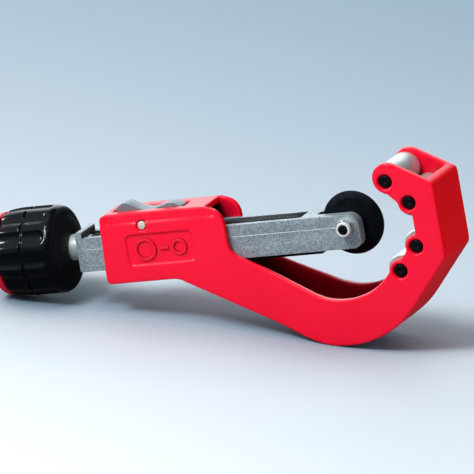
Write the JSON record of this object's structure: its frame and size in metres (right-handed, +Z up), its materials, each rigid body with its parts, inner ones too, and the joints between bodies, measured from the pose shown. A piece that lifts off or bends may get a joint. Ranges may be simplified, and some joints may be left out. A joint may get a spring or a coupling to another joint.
{
  "type": "pipe cutter",
  "caption": "Hand pipe cutter: C-shaped cast frame with pipe rollers, a telescopic slide with a cutting wheel, a feed screw with a knob, and a quick-release lever.",
  "frame": {"origin": "bottom centre of the bounding box, on the floor that the arch and the knob cap stand on", "axes": "+X towards the roller head, along the tool; +Y across the tool; +Z up. The feed axis lies in the XZ plane, 12.0 degrees nose-up from +X"},
  "size_m": [0.2418, 0.044, 0.0957],
  "materials": {
    "red_paint": "glossy powder coat",
    "cast_alloy": "blasted die casting",
    "lever_alloy": "satin die casting",
    "bright_steel": "turned",
    "zinc_steel": "zinc plated",
    "spring_steel": "drawn wire",
    "black_steel": "black oxide",
    "wheel_steel": "black oxide, ground rim",
    "bronze": "machined",
    "black_plastic": "glossy moulded",
    "red_plastic": "glossy moulded"
  },
  "bodies": {
    "frame": {"frame_casting": "red_paint", "roller_pin_1": "black_steel", "roller_pin_2": "black_steel", "roller_pin_3": "black_steel", "roller_pin_4": "black_steel", "release_pin": "bright_steel", "pin_clip": "black_steel", "lever_spring": "spring_steel"},
    "roller_1": {"roller_1": "bright_steel"},
    "roller_2": {"roller_2": "bright_steel"},
    "roller_3": {"roller_3": "bright_steel"},
    "roller_4": {"roller_4": "bright_steel"},
    "lever": {"release_lever": "lever_alloy", "half_nut": "bronze", "half_nut_rivet_1": "bright_steel", "half_nut_rivet_2": "bright_steel"},
    "slide": {"slide_casting": "cast_alloy", "slide_strip": "black_steel", "strip_screw_1": "black_steel", "strip_screw_2": "black_steel", "rear_collar": "zinc_steel", "front_bush": "bronze", "axle_bolt": "zinc_steel", "axle_washer": "zinc_steel", "axle_nut": "zinc_steel", "wheel_spacer_near": "bright_steel", "wheel_spacer_far": "bright_steel"},
    "wheel": {"cutting_wheel": "wheel_steel"},
    "feed": {"feed_screw": "black_steel", "inner_thrust_washer": "bright_steel", "outer_thrust_washer": "bright_steel", "knob_body": "black_plastic", "knob_cap": "red_plastic", "knob_washer": "bright_steel", "knob_screw": "bright_steel"}
  },
  "joints": [
    {"name": "roller_1_spin", "type": "hinge", "parent": "frame", "child": "roller_1", "pos_m": [0.0886, 0, 0.08629], "axis": [0, 1, 0], "continuous": true},
    {"name": "roller_2_spin", "type": "hinge", "parent": "frame", "child": "roller_2", "pos_m": [0.10116, 0, 0.0772], "axis": [0, 1, 0], "continuous": true},
    {"name": "roller_3_spin", "type": "hinge", "parent": "frame", "child": "roller_3", "pos_m": [0.10574, 0, 0.05568], "axis": [0, 1, 0], "continuous": true},
    {"name": "roller_4_spin", "type": "hinge", "parent": "frame", "child": "roller_4", "pos_m": [0.09796, 0, 0.04227], "axis": [0, 1, 0], "continuous": true},
    {"name": "slide_feed", "type": "slide", "parent": "frame", "child": "slide", "axis": [0.9781, 0, 0.2079], "range_m": [-0.0531, 0.0141]},
    {"name": "knob_turn", "type": "hinge", "parent": "slide", "child": "feed", "pos_m": [-0.09551, 0, 0.02415], "axis": [0.9781, 0, 0.2079], "range_deg": [-9540, 2520]},
    {"name": "wheel_spin", "type": "hinge", "parent": "slide", "child": "wheel", "pos_m": [0.06687, 0, 0.05867], "axis": [0, 1, 0], "continuous": true},
    {"name": "lever_press", "type": "hinge", "parent": "frame", "child": "lever", "pos_m": [-0.03951, 0, 0.04689], "axis": [0, -1, 0], "range_deg": [0, 9], "deforming": ["lever_spring"]}
  ],
  "couplings": [
    {"joint": "slide_feed", "follows": "knob_turn", "m_per_rad": 0.00031831}
  ]
}
